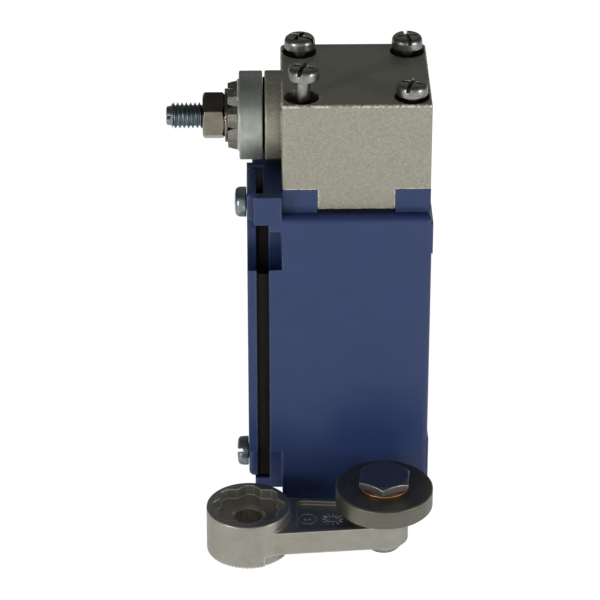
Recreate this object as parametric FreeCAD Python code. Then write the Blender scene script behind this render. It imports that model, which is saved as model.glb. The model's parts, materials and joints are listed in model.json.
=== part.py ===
import FreeCAD, Part
import math
import os

# Roller-lever limit switch, lever taken off and lying in front of the case.
# Millimetres. Origin: centre of the conduit entry in the case's bottom face.
# +X is the mounting face, -X the cover and shaft end, +Z up, the lever lies towards -Y.

V = FreeCAD.Vector
X, Y, Z = V(1, 0, 0), V(0, 1, 0), V(0, 0, 1)

# case
HALF_W = 20.0            # half width of the case
RIM_X = -20.1            # front rim that the gasket bears on
BACK_X = 17.3            # cast back face
PAD = 0.25               # machined pads standing off the back
LEDGE_Z = 78.8           # top of the case under the head
FLANGE_X = (-21.3, -17.15)
FLANGE_TOP = 84.0
EAR_X = (-23.5, -17.4)
EAR_Y = (17.6, 20.0)
EAR_BOTTOM = 77.0
LIP_X, LIP_FROM_Y = -23.8, -3.3      # upper lip, over the plain part of the cover
SILL_X, SILL_HALF, SILL_TOP = -23.6, 9.85, 2.6   # lower lip, under the cover
POST_TOP = 84.4
POST_IN, POST_OUT = 8.95, 17.0
WALL_IN_Y, WALL_BACK = 17.2, 14.3
CAVITY_Z = (4.0, 75.8)
FIX_Y, FIX_Z = 15.0, (10.3, 70.3)
FIX_R = 2.65
SEAT_X = -17.1           # floor the fixing screw heads bear on
RECESS_R = 7.0
NOTCH_Y, NOTCH_Z = 10.0, 16.3
CONDUIT_R, CONDUIT_L = 9.19, 12.0
CONDUIT_WALL_R = 12.5
PLUNGER_HOLE_R = 4.0     # through the top of the case, under the head
FIX_BOSS_R = 5.4         # walls round the fixing holes
EARTH_Y, EARTH_Z = -3.6, 17.2
POSTS = [(sx, sy) for sx in (-1, 1) for sy in (-1, 1)]   # the four corners, as signs

# cover and gasket
COVER_X = (-25.1, -23.0)
COVER_BOTTOM, COVER_MID, COVER_TOP = 2.8, 76.9, 84.0
COVER_HALF = 17.2       # half width between the ears
SHOULDER_Z = FIX_Z[1]    # where the cover narrows, level with the upper fixing holes
COVER_SCREWS = ((-5.0, 7.5), (-5.0, 75.5))
COVER_SCREW_TURNS = (119, 35)
COVER_ROUND, COVER_FOOT_ROUND = 0.7, 1.3   # rounding of the cover's front edges

# head
HEAD_HALF = 17.0
HEAD_Z = (84.5, 105.7)
FOOT_HALF, FOOT_Z = 8.85, 79.6
AXIS_Z = 95.4
SCREW_AT = 12.5
SINK_R, SINK_Z = 4.05, 102.7
HOLE_R = 2.6
BOSS_R, BOSS_X = 10.3, -20.8
CHAMBER_X, CHAMBER_Y, CHAMBER_TOP = 8.0, 9.6, 102.3
SCREW_UNDER, LOOSE_UNDER = 106.8, 110.5
NEAR_UNDER = 106.4       # the near right screw sits a little deeper
SCREW_LEN = 26.0
SCREW_HEAD_R, SCREW_HEAD_H, SCREW_SHANK_R = 3.6, 3.0, 1.6

# shaft group
SHAFT_R, JOURNAL_R, STUD_R = 4.0, 3.5, 3.0
CORE_R = 2.8             # stud inside the nut, where the two threads share the space
PASS_R = 3.1             # bores that slip over the thread
BUSH_R = 6.0
RUN = 0.05               # radial running clearance
FIT = 0.02               # radial gap between pieces fixed together
STEP_X, STUD_END = -24.0, -43.5
SEAL_X, SEAL_R = (-21.25, -20.82), 8.8
RING_X, RING_R = (-26.7, -21.3), 10.25
STAR_X = (-29.3, -27.12)
WASHER_X, NUT_X = (-30.0, -29.3), (-35.1, -30.0)
NUT_AF = 10.0
RIM_R = 8.35             # toothed rim on the ring's front
RING_TEETH, HUB_TEETH = 96, 72
WASHER_R = 6.2
LOBES = 8
LOBE_HALF = math.radians(6.5)        # half the angle a lobe's flat top spans
THREAD_HOLE_R = 1.62     # tapped holes, drawn at their core radius
COVER_PASS_R = 1.8       # holes the cover screws slip through

# cam: the height under the shaft grows by CAM_RATE for each radian of turn
CAM_BASE, CAM_RATE = 5.0, 3.0
CAM_TURN = math.radians(72)
CAM_HALF = 3.0
CAM_GAP = 0.1
PLUNGER_R, PLUNGER_HEAD_R = 2.5, 4.6
PLUNGER_FOOT = 76.3
GUIDE_Z = (79.7, 81.7)

# contact block
BLOCK_X, BLOCK_Y, BLOCK_Z = (-10.0, 13.9), 13.0, (23.0, 65.0)
SWITCH_X, SWITCH_Y, SWITCH_Z = 7.0, 11.5, (35.0, 57.5)
STEM_R = 2.2
TERMINAL_Y = 8.4         # terminal screws, from the block's middle
STEM_TOP = 76.2
BLOCK_SCREWS = ((-10.0, 26.0), (10.0, 26.0))
NC_Z, NO_Z = 55.0, 37.0  # undersides of the fixed contact tongues
BRIDGE_NC_Z, BRIDGE_NO_Z = 53.0, 43.0
TIP_Y = 7.5
TERM_Y = (5.6, 11.2)
TERM_SCREWS = (59.0, 33.0)

# lever lying on the floor, hub to the left
HUB = V(-25.3, -35.5, 0)
PIN = V(6.47, -35.6, 0)
HUB_R, HUB_H = 9.85, 11.37
ARM_Z = (2.5, 8.4)
ARM_R_HUB, ARM_R_END = 8.5, 5.7
FOOT_BOSS_R = 3.6        # conical boss under the arm's end, on which it stands
BOSS_TOP = 11.3
SOCKET_DEPTH = 2.6
LEVER_BORE = 3.25
ROLLER_Z, ROLLER_R = (11.4, 16.4), 11.37
ROLLER_BUSH_R = 4.4
PIN_R, COLLAR_R = 3.0, 4.7
HEX_Z, HEX_AF = (17.5, 19.4), 11.3
THIN_WASHER_Z, THIN_WASHER_R = (16.5, 16.85), 5.8


def box(x, y, z):
    return Part.makeBox(x[1] - x[0], y[1] - y[0], z[1] - z[0], V(x[0], y[0], z[0]))


def rod(r, a, b, at=(0, 0), along=X):
    """Cylinder from a to b along an axis; at gives the other two coordinates."""
    if along == X:
        start = V(a, at[0], at[1])
    elif along == Y:
        start = V(at[0], a, at[1])
    else:
        start = V(at[0], at[1], a)
    return Part.makeCylinder(r, b - a, start, along)


def mirror_y(shape):
    return shape.mirror(V(0, 0, 0), Y)


def both(shape):
    return [shape, mirror_y(shape)]


def fuse(shapes):
    return shapes[0].multiFuse(shapes[1:]).removeSplitter()


def polygon(points):
    return Part.Face(Part.makePolygon(points + [points[0]]))


def hexagon(af, turn, centre, height):
    r = af / 2 / math.cos(math.pi / 6)
    pts = [centre + V(r * math.cos(turn + k * math.pi / 3), r * math.sin(turn + k * math.pi / 3), 0)
           for k in range(6)]
    return polygon(pts).extrude(V(0, 0, height))


def star_outline(outer, inner, turn, z):
    """Closed wire with LOBES flat-topped lobes."""
    half = LOBE_HALF
    step = 2 * math.pi / LOBES
    pts = []
    for k in range(LOBES):
        mid = turn + k * step
        for r, a in ((outer, mid - half), (outer, mid + half), (inner, mid + step / 2)):
            pts.append(V(r * math.cos(a), r * math.sin(a), z))
    return Part.makePolygon(pts + [pts[0]])


def groove_set(teeth, r_in, r_out, z, depth, width):
    """Radial V grooves in a face at height z, cut downwards."""
    one = Part.Face(Part.makePolygon([V(r_in, -width / 2, z + 0.01), V(r_in, width / 2, z + 0.01),
                                      V(r_in, 0, z - depth), V(r_in, -width / 2, z + 0.01)]))
    one = one.extrude(V(r_out - r_in, 0, 0))
    out = []
    for k in range(teeth):
        g = one.copy()
        g.rotate(V(0, 0, 0), Z, k * 360 / teeth)
        out.append(g)
    return Part.makeCompound(out)


def to_shaft(shape):
    """Turn a shape built on +Z so that its +Z points along -X, on the shaft axis."""
    shape = shape.copy()
    shape.rotate(V(0, 0, 0), Y, -90)
    shape.translate(V(0, 0, AXIS_Z))
    return shape


def coil(r, wire, z0, z1, turns, at=(0, 0)):
    height = z1 - z0 - 2 * wire
    helix = Part.makeHelix(height / turns, height, r)
    helix.translate(V(at[0], at[1], z0 + wire))
    ring = [V(at[0] + r + wire * math.cos(k * math.pi / 4), at[1], z0 + wire + wire * math.sin(k * math.pi / 4))
            for k in range(8)]
    section = Part.makePolygon(ring + [ring[0]])
    return Part.Wire(helix).makePipeShell([section], True, True)


def slotted_pan(head_r, head_h, shank_r, length, turn, cross=False, thread_r=None, thread_len=0):
    """Pan-head screw with its head on z = 0 upwards and its shank downwards."""
    head = Part.makeCylinder(head_r, head_h)
    head = head.makeFillet(head_h * 0.38, [head.Edges[0]])
    slot = box((-head_r - 1, head_r + 1), (-0.5, 0.5), (head_h - 1.25, head_h + 1))
    tools = [slot]
    if cross:
        tools.append(box((-0.45, 0.45), (-head_r * 0.62, head_r * 0.62), (head_h - 1.3, head_h + 1)))
    tool = fuse(tools)
    tool.rotate(V(0, 0, 0), Z, turn)
    screw = [head.cut(tool), Part.makeCylinder(shank_r, length, V(0, 0, -length))]
    if thread_r:
        thread = Part.makeCylinder(thread_r, thread_len, V(0, 0, -length))
        screw.append(thread.makeChamfer(0.4, [thread.Edges[2]]))
    return fuse(screw)


# ---- case -------------------------------------------------------------------

def case_block():
    block = box((RIM_X, BACK_X), (-HALF_W, HALF_W), (0, LEDGE_Z))
    upright = [e for e in block.Edges
               if abs(e.BoundBox.XMin - BACK_X) < 0.01 and abs(e.BoundBox.ZLength - LEDGE_Z) < 0.01]
    block = block.makeFillet(1.2, upright)
    top = [e for e in block.Edges if e.BoundBox.ZMin > LEDGE_Z - 0.01 and e.BoundBox.XMax > RIM_X + 1]
    return block.makeFillet(1.6, top)


def case_inside():
    """Solid lumps left inside the chamber."""
    lumps = []
    for z in FIX_Z:
        lumps += both(rod(FIX_BOSS_R, SEAT_X, BACK_X, (FIX_Y, z)))
    lumps += both(box((RIM_X, BACK_X), (8.5, HALF_W), (0, 17.8)))
    lumps += both(rod(RECESS_R + 1.6, RIM_X, SEAT_X + 2.5, (FIX_Y, FIX_Z[1])))
    lumps += [rod(CONDUIT_WALL_R, 0, CONDUIT_L, along=Z)]
    lumps += [rod(3.3, RIM_X, -10.5, at) for at in COVER_SCREWS]
    lumps += [rod(3.4, 74.8, LEDGE_Z - 0.1, (sx * SCREW_AT, sy * SCREW_AT), Z) for sx, sy in POSTS]
    lumps += [rod(3.0, 11.6, BACK_X, (EARTH_Y, EARTH_Z))]
    return lumps


def case_outside():
    parts = [box(FLANGE_X, (-HALF_W, HALF_W), (EAR_BOTTOM, FLANGE_TOP)),
             box((LIP_X, FLANGE_X[1]), (LIP_FROM_Y, EAR_Y[1]), (COVER_MID + 0.2, FLANGE_TOP)),
             box((SILL_X, SEAT_X), (-SILL_HALF, SILL_HALF), (0, SILL_TOP))]
    ear = box(EAR_X, EAR_Y, (EAR_BOTTOM, FLANGE_TOP))
    parts += both(ear.makeFillet(0.5, [e for e in ear.Edges if e.BoundBox.XMax < EAR_X[0] + 0.01]))
    for sx, sy in POSTS:
        x = sorted((sx * POST_IN, sx * POST_OUT))
        y = sorted((sy * POST_IN, sy * POST_OUT))
        parts.append(box(x, y, (LEDGE_Z - 0.5, POST_TOP)))
    for z in ((0.6, 19.2), (69.2, 77.0)):
        parts += both(box((BACK_X - 0.5, BACK_X + PAD), (9.0, 19.6), z))
    return parts


def case_holes():
    cuts = []
    for z in FIX_Z:
        cuts += both(rod(FIX_R, SEAT_X - 5, BACK_X + 2, (FIX_Y, z)))
    cuts += both(rod(RECESS_R, SEAT_X - 12, SEAT_X, (FIX_Y, FIX_Z[1])))
    cuts += both(box((SEAT_X - 12, SEAT_X), (NOTCH_Y, HALF_W + 1), (-1, NOTCH_Z)))
    cuts += [rod(CONDUIT_R, -1, CONDUIT_L + 1, along=Z), rod(PLUNGER_HOLE_R, 70, LEDGE_Z + 1, along=Z)]
    cuts += [rod(THREAD_HOLE_R, 76.0, POST_TOP + 1, (sx * SCREW_AT, sy * SCREW_AT), Z) for sx, sy in POSTS]
    cuts += [rod(1.72, COVER_X[1], -11.0, at) for at in COVER_SCREWS]
    cuts += [rod(1.22, WALL_BACK - 1, WALL_BACK + 2.2, at) for at in BLOCK_SCREWS]
    cuts += [rod(1.52, 11.0, 16.0, (EARTH_Y, EARTH_Z))]
    return cuts


def body_shell():
    block = case_block()
    chamber = box((RIM_X - 1, WALL_BACK), (-WALL_IN_Y, WALL_IN_Y), CAVITY_Z)
    shell = block.cut(chamber)
    lumps = fuse(case_inside()).common(block)
    return fuse([shell, lumps] + case_outside()).cut(Part.makeCompound(case_holes()))


def cover_outline(inset, tab):
    """Front-view outline of the cover, drawn by inset from its edges, on the plane x = 0."""
    bottom, side, top = COVER_BOTTOM + inset, HALF_W - 0.15 - inset, COVER_MID - inset
    foot, neck = NOTCH_Y - inset, COVER_HALF - inset
    step = [(foot, bottom), (foot, NOTCH_Z + inset), (side, NOTCH_Z + inset), (side, SHOULDER_Z),
            (neck, SHOULDER_Z), (neck, top)]
    outline = step + [(-y, z) for y, z in reversed(step)]
    if tab:
        edge = LIP_FROM_Y - 0.2
        outline[6:7] = [(edge, top), (edge, COVER_TOP), (-neck, COVER_TOP)]
    return polygon([V(0, y, z) for y, z in outline])


def recess_tools(grow):
    return [Part.makeCylinder(RECESS_R + grow, 30, V(-40, s * FIX_Y, FIX_Z[1]), X) for s in (-1, 1)]


def front_cover():
    thick = COVER_X[1] - COVER_X[0]
    plate = cover_outline(0, True).extrude(V(thick, 0, 0))
    plate.translate(V(COVER_X[0], 0, 0))
    plate = plate.cut(Part.makeCompound(recess_tools(0)))

    def across(low, high):
        return [e for e in plate.Edges if abs(e.BoundBox.XLength - thick) < 0.01
                and e.BoundBox.YLength < 0.01 and low < e.BoundBox.ZMin < high]
    plate = plate.makeFillet(1.6, across(0, COVER_BOTTOM + 0.01) + across(COVER_TOP - 0.01, 99))
    front_low = [e for e in plate.Edges if e.BoundBox.XMax < COVER_X[0] + 0.01
                 and e.BoundBox.ZMin < NOTCH_Z - 1]
    plate = plate.makeFillet(COVER_FOOT_ROUND, front_low)
    front_high = [e for e in plate.Edges if e.BoundBox.XMax < COVER_X[0] + 0.01
                  and e.BoundBox.ZMin > COVER_TOP - 2]
    plate = plate.makeFillet(COVER_ROUND, front_high)
    return plate.cut(Part.makeCompound([rod(COVER_PASS_R, -30, -20, at) for at in COVER_SCREWS]))


def cover_gasket():
    sheet = cover_outline(0.6, False).extrude(V(RIM_X - COVER_X[1] - 0.02, 0, 0))
    sheet.translate(V(COVER_X[1] + 0.01, 0, 0))
    window = box((-30, -10), (-17.2, 17.2), (19.0, 61.0))
    cuts = recess_tools(0.6) + [window] + [rod(COVER_PASS_R, -30, -15, at) for at in COVER_SCREWS]
    return sheet.cut(Part.makeCompound(cuts))


def place_front_screw(shape, at):
    """Stand a screw built on +Z out of the cover, head towards -X."""
    shape.rotate(V(0, 0, 0), Y, -90)
    shape.translate(V(COVER_X[0] - 0.1, at[0], at[1]))
    return shape


def cover_screws():
    return Part.makeCompound([place_front_screw(slotted_pan(3.55, 2.75, 1.7, 13.4, turn), at)
                              for turn, at in zip(COVER_SCREW_TURNS, COVER_SCREWS)])


def head_seal():
    a = FOOT_HALF - 0.3
    arms = [box((-a, a), (-16.7, 16.7), (LEDGE_Z + 0.01, FOOT_Z - 0.01)),
            box((-16.7, 16.7), (-a, a), (LEDGE_Z + 0.01, FOOT_Z - 0.01))]
    return fuse(arms).cut(rod(PLUNGER_HOLE_R, 70, 90, along=Z))


def earth_screw():
    screw = slotted_pan(2.9, 1.9, 1.5, 4.0, 60)
    screw.rotate(V(0, 0, 0), Y, -90)
    screw.translate(V(11.55, EARTH_Y, EARTH_Z))
    return screw


# ---- head -------------------------------------------------------------------

def head_block():
    body = box((-HEAD_HALF, HEAD_HALF), (-HEAD_HALF, HEAD_HALF), HEAD_Z)
    for side, radius in ((-1, 0.7), (1, 1.3)):
        body = body.makeFillet(radius, [e for e in body.Edges if e.BoundBox.ZLength > 15
                                        and side * e.BoundBox.YMin > HEAD_HALF - 0.01])
    body = body.makeFillet(0.6, [e for e in body.Edges if e.BoundBox.ZMin > HEAD_Z[1] - 0.01])
    foot = [box((-FOOT_HALF, FOOT_HALF), (-HEAD_HALF, HEAD_HALF), (FOOT_Z, HEAD_Z[0] + 1)),
            box((-HEAD_HALF, HEAD_HALF), (-FOOT_HALF, FOOT_HALF), (FOOT_Z, HEAD_Z[0] + 1))]
    boss = rod(BOSS_R, BOSS_X, -10, (0, AXIS_Z))
    edge = [e for e in boss.Edges if abs(e.BoundBox.XMin - BOSS_X) < 0.01 and e.BoundBox.XLength < 0.01]
    boss = boss.makeFillet(0.4, edge)
    cuts = [box((-CHAMBER_X, CHAMBER_X), (-CHAMBER_Y, CHAMBER_Y), (FOOT_Z - 1, CHAMBER_TOP)),
            rod(BUSH_R + FIT, BOSS_X - 1, -CHAMBER_X + 1, (0, AXIS_Z)),
            rod(JOURNAL_R + RUN, CHAMBER_X - 1, 13.4, (0, AXIS_Z))]
    for sx, sy in POSTS:
        at = (sx * SCREW_AT, sy * SCREW_AT)
        cuts += [rod(HOLE_R, 70, 110, at, Z), rod(SINK_R, SINK_Z, 110, at, Z)]
    return fuse([body] + foot + [boss]).cut(Part.makeCompound(cuts))


def head_screw(turn):
    return slotted_pan(SCREW_HEAD_R, SCREW_HEAD_H, SCREW_SHANK_R, SCREW_LEN, turn, cross=True,
                       thread_r=SCREW_SHANK_R, thread_len=7.0)


def head_screws():
    out = []
    for sx, sy, turn, under in ((1, -1, 72, NEAR_UNDER), (1, 1, 98, SCREW_UNDER), (-1, 1, -28, SCREW_UNDER)):
        screw = head_screw(turn)
        screw.translate(V(sx * SCREW_AT, sy * SCREW_AT, under))
        out.append(screw)
    return Part.makeCompound(out)


def head_screw_loose():
    screw = head_screw(72)
    screw.translate(V(-SCREW_AT, -SCREW_AT, LOOSE_UNDER))
    screw.rotate(V(-SCREW_AT, -SCREW_AT, 93.0), Y, 1.5)
    return screw


def shaft_bush():
    tube = rod(BUSH_R, BOSS_X + 0.2, -CHAMBER_X, (0, AXIS_Z))
    return tube.cut(rod(SHAFT_R + RUN, -30, 0, (0, AXIS_Z)))


def dust_seal():
    disc = rod(SEAL_R, SEAL_X[0], SEAL_X[1], (0, AXIS_Z))
    return disc.cut(rod(SHAFT_R + RUN, -30, 0, (0, AXIS_Z)))


def lever_shaft():
    parts = [rod(SHAFT_R, STEP_X, -7.0, (0, AXIS_Z)), rod(JOURNAL_R, -7.0, 13.0, (0, AXIS_Z))]
    stud = fuse([rod(STUD_R, STUD_END + 1.2, NUT_X[0] - FIT, (0, AXIS_Z)),
                 rod(CORE_R, NUT_X[0] - 0.5, STEP_X, (0, AXIS_Z))])
    tip = rod(2.2, STUD_END, STUD_END + 1.2, (0, AXIS_Z))
    tip = tip.makeChamfer(0.4, [e for e in tip.Edges if e.BoundBox.XMax < STUD_END + 0.01])
    body = fuse(parts + [stud, tip])
    clip_groove = rod(6, -7.9, -7.15, (0, AXIS_Z)).cut(rod(3.2, -9, 0, (0, AXIS_Z)))
    seal_groove = rod(6, -18.6, -16.9, (0, AXIS_Z)).cut(rod(3.15, -20, 0, (0, AXIS_Z)))
    slot = box((STUD_END - 1, STUD_END + 1.0), (-3, 3), (AXIS_Z - 0.4, AXIS_Z + 0.4))
    slot.rotate(V(0, 0, AXIS_Z), X, 12)
    pin_hole = rod(1.0, AXIS_Z - 3.0, AXIS_Z + 6, (0, 0), Z)
    return body.cut(Part.makeCompound([clip_groove, seal_groove, slot, pin_hole]))


def cam_point(angle):
    """Point of the cam whose outward normal is turned by angle from straight down."""
    reach = CAM_BASE + CAM_RATE * angle
    return V(0, -reach * math.sin(angle) - CAM_RATE * math.cos(angle),
             -reach * math.cos(angle) + CAM_RATE * math.sin(angle))


def shaft_cam():
    steps = 12
    rise = [cam_point(CAM_TURN * k / steps) for k in range(steps + 1)]
    curve = Part.BSplineCurve()
    curve.interpolate(rise)
    tip = rise[-1]
    r = tip.Length
    a0 = math.atan2(-tip.y, -tip.z)
    on_arc = [V(0, -r * math.sin(a0 + d), -r * math.cos(a0 + d)) for d in (0.09, 0.18)]
    heel = V(0, -CAM_BASE * math.sin(a0 + 0.9), -CAM_BASE * math.cos(a0 + 0.9))
    centre, low = V(0, 0, 0), V(0, 0, -CAM_BASE)
    edges = [curve.toShape(), Part.Arc(tip, on_arc[0], on_arc[1]).toShape(),
             Part.makeLine(on_arc[1], heel), Part.makeLine(heel, centre),
             Part.makeLine(centre, low), Part.makeLine(low, rise[0])]
    lobe = Part.Face(Part.Wire(edges)).extrude(V(2 * CAM_HALF, 0, 0))
    lobe.translate(V(-CAM_HALF, 0, AXIS_Z))
    cam = fuse([lobe, rod(CAM_BASE, -CAM_HALF, CAM_HALF, (0, AXIS_Z))])
    cuts = [rod(JOURNAL_R + FIT, -10, 10, (0, AXIS_Z)), rod(1.0, AXIS_Z, AXIS_Z + 8, along=Z)]
    return cam.cut(Part.makeCompound(cuts))


def cam_pin():
    return rod(1.0 - FIT, AXIS_Z - 2.9, AXIS_Z + CAM_BASE - 0.1, along=Z)


def o_ring(r, wire, centre, axis):
    return Part.makeTorus(r, wire, centre, axis)


def retaining_ring():
    ring = rod(5.6, -7.87, -7.2, (0, AXIS_Z)).cut(rod(3.23, -10, 0, (0, AXIS_Z)))
    return ring.cut(box((-10, -5), (-1.6, 1.6), (AXIS_Z, AXIS_Z + 8)))


def drive_ring():
    depth = RING_X[1] - RING_X[0]
    ring = Part.makeCylinder(RING_R, depth)
    ring = ring.makeFillet(0.35, [ring.Edges[0], ring.Edges[2]])
    rim = Part.makeCylinder(RIM_R, 0.4, V(0, 0, depth - 0.01))
    rim = rim.cut(groove_set(RING_TEETH, 6.6, RIM_R + 0.5, depth + 0.39, 0.34, 0.38))
    body = fuse([ring, rim])
    body.translate(V(0, 0, -RING_X[1]))
    body = to_shaft(body)
    wide = rod(SHAFT_R + FIT, STEP_X - FIT, 0, (0, AXIS_Z))
    return body.cut(Part.makeCompound([wide, rod(PASS_R, -40, 0, (0, AXIS_Z))]))


def star_boss():
    """Tapered driver with a wedge-shaped notch in the front of each valley."""
    turn = math.radians(65)
    front, back = -STAR_X[0], -STAR_X[1]
    wires = [star_outline(8.0, 7.0, turn, back), star_outline(7.45, 6.45, turn, front)]
    body = Part.makeLoft(wires, True, True)
    wedge = polygon([V(5.5, -0.6, front + 0.01), V(5.5, 0.6, front + 0.01), V(5.5, 0, front - 1.5)])
    wedge = wedge.extrude(V(3.0, 0, 0))
    notches = []
    for k in range(LOBES):
        notch = wedge.copy()
        notch.rotate(V(0, 0, 0), Z, math.degrees(turn) + (k + 0.5) * 360 / LOBES)
        notches.append(notch)
    body = body.cut(Part.makeCompound(notches))
    return to_shaft(body).cut(rod(PASS_R, -40, 0, (0, AXIS_Z)))


def lock_washer():
    plate = rod(WASHER_R, WASHER_X[0] + 0.01, WASHER_X[1] - 0.01, (0, AXIS_Z))
    return plate.cut(rod(PASS_R, -40, 0, (0, AXIS_Z)))


def lever_nut():
    height = NUT_X[1] - NUT_X[0]
    body = hexagon(NUT_AF, math.radians(62.5), V(0, 0, 0), height)
    face_r, full_r, rise = NUT_AF / 2 * 0.95, NUT_AF / 2 * 1.2, 0.72
    trim = Part.makeCone(face_r, full_r, rise).fuse(Part.makeCylinder(full_r, height - 2 * rise, V(0, 0, rise)))
    trim = trim.fuse(Part.makeCone(full_r, face_r, rise, V(0, 0, height - rise)))
    body = body.common(trim)
    body.translate(V(0, 0, -NUT_X[1] + 0.01))
    return to_shaft(body).cut(rod(CORE_R + FIT, -50, 0, (0, AXIS_Z)))


def plunger_top():
    return AXIS_Z - CAM_BASE - CAM_GAP


def head_plunger():
    top = plunger_top()
    return fuse([rod(PLUNGER_HEAD_R, top - 1.5, top, along=Z), rod(PLUNGER_R, PLUNGER_FOOT, top - 1, along=Z)])


def plunger_guide():
    plate = box((-CHAMBER_X + 0.03, CHAMBER_X - 0.03), (-CHAMBER_Y + 0.03, CHAMBER_Y - 0.03), GUIDE_Z)
    groove = rod(3.5, GUIDE_Z[0] - 1, GUIDE_Z[0] + 1.1, along=Z)
    return plate.cut(Part.makeCompound([rod(PLUNGER_R + RUN, 70, 90, along=Z), groove]))


def plunger_seal():
    return o_ring(3.02, 0.46, V(0, 0, GUIDE_Z[0] + 0.55), Z)


def plunger_spring():
    return coil(3.5, 0.3, GUIDE_Z[1] + 0.02, plunger_top() - 1.52, 4)


# ---- contact block ----------------------------------------------------------

def block_housing():
    body = box(BLOCK_X, (-BLOCK_Y, BLOCK_Y), BLOCK_Z)
    body = body.makeFillet(0.8, [e for e in body.Edges if e.BoundBox.XLength > 10])
    cuts = [box((BLOCK_X[0] - 1, SWITCH_X), (-SWITCH_Y, SWITCH_Y), SWITCH_Z),
            rod(STEM_R + RUN, 50, 70, along=Z), rod(STEM_R + RUN, 26.0, 40, along=Z)]
    for y, z in BLOCK_SCREWS:
        cuts += [rod(1.6, -20, 20, (y, z)), rod(2.9, -20, BLOCK_X[0] + 2.4, (y, z))]
    for z in TERM_SCREWS:
        for s in (-1, 1):
            cuts.append(rod(1.85, BLOCK_X[0] - 1, BLOCK_X[0] + 5.5, (s * TERMINAL_Y, z)))
    return body.cut(Part.makeCompound(cuts))


def block_cover():
    plate = box((BLOCK_X[0] - 1.8, BLOCK_X[0] - 0.02), (-BLOCK_Y, BLOCK_Y), (NO_Z + 1.6, NC_Z - 0.6))
    spine = box((BLOCK_X[0] - 1.8, BLOCK_X[0] - 0.02), (-4.4, 4.4), (30.0, 62.0))
    rib = box((BLOCK_X[0] - 4.4, BLOCK_X[0] - 1.7), (-0.8, 0.8), (30.0, 62.0))
    return fuse([plate, spine, rib])


def block_screws():
    out = []
    for (y, z), turn in zip(BLOCK_SCREWS, (20, -35)):
        screw = slotted_pan(2.7, 1.8, 1.2, 23.6, turn)
        screw.rotate(V(0, 0, 0), Y, -90)
        screw.translate(V(BLOCK_X[0] + 2.38, y, z))
        out.append(screw)
    return Part.makeCompound(out)


def terminal(side, upper):
    """Fixed contact: tongue with a tip over or under the bridge, and a screw plate in front."""
    z = NC_Z if upper else NO_Z
    y = sorted((side * TERM_Y[0], side * TERM_Y[1]))
    front = BLOCK_X[0] - 1.02
    tongue = box((front, 2.6), y, (z, z + 1))
    plate_z = (z, 63.0) if upper else (29.0, z + 1)
    plate_y = sorted((side * 5.0, side * 12.2))
    plate = box((front, front + 1), plate_y, plate_z)
    tip_z = (z - 0.45, z) if upper else (z + 1, z + 1.35)
    tip = rod(1.3, tip_z[0], tip_z[1], (0, side * TIP_Y), Z)
    hole = rod(THREAD_HOLE_R, -30, 0, (side * TERMINAL_Y, TERM_SCREWS[0] if upper else TERM_SCREWS[1]))
    return fuse([tongue, plate, tip]).cut(hole)


def terminal_screws():
    out = []
    for z, turn in zip(TERM_SCREWS, (15, -40)):
        for side in (-1, 1):
            screw = slotted_pan(3.1, 2.0, 1.6, 7.2, turn * side)
            screw.rotate(V(0, 0, 0), Y, -90)
            screw.translate(V(BLOCK_X[0] - 2.1, side * TERMINAL_Y, z))
            out.append(screw)
    return Part.makeCompound(out)


def terminal_clamps():
    out = []
    front = BLOCK_X[0] - 1.04
    for z in TERM_SCREWS:
        for side in (-1, 1):
            y = sorted((side * 5.3, side * 11.5))
            clamp = box((front - 1.0, front), y, (z - 3.3, z + 3.3))
            out.append(clamp.cut(rod(1.75, -30, 0, (side * TERMINAL_Y, z))))
    return Part.makeCompound(out)


def contact_carrier():
    frame = box((-2.4, 2.4), (-2.6, 2.6), (39.6, 57.0))
    stem = rod(STEM_R, 56, STEM_TOP, along=Z)
    stem = stem.makeFillet(0.8, [e for e in stem.Edges if e.BoundBox.ZMin > STEM_TOP - 0.01])
    body = fuse([frame, stem, rod(STEM_R, 33.5, 40, along=Z)])
    windows = [box((-1.85, 1.85), (-3, 3), (49.5, 53.82)), box((-1.85, 1.85), (-3, 3), (42.98, 47.3))]
    return body.cut(Part.makeCompound(windows))


def bridge(z, up):
    strip = box((-1.8, 1.8), (-9.4, 9.4), (z, z + 0.8))
    tip_z = (z + 0.8, z + 1.5) if up else (z - 0.7, z)
    return fuse([strip] + both(rod(1.3, tip_z[0], tip_z[1], (0, TIP_Y), Z)))


def block_spring():
    return coil(1.55, 0.25, 26.02, 33.48, 6)


# ---- lever ------------------------------------------------------------------

def arm_frame(point):
    """Point given as distance along the arm, sideways, height, in the case's axes."""
    along = PIN - HUB
    along = along * (1 / along.Length)
    side = V(-along.y, along.x, 0)
    return HUB + along * point[0] + side * point[1] + V(0, 0, point[2])


def arm_half(u):
    length = (PIN - HUB).Length
    return ARM_R_HUB + (ARM_R_END - ARM_R_HUB) * u / length


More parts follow.
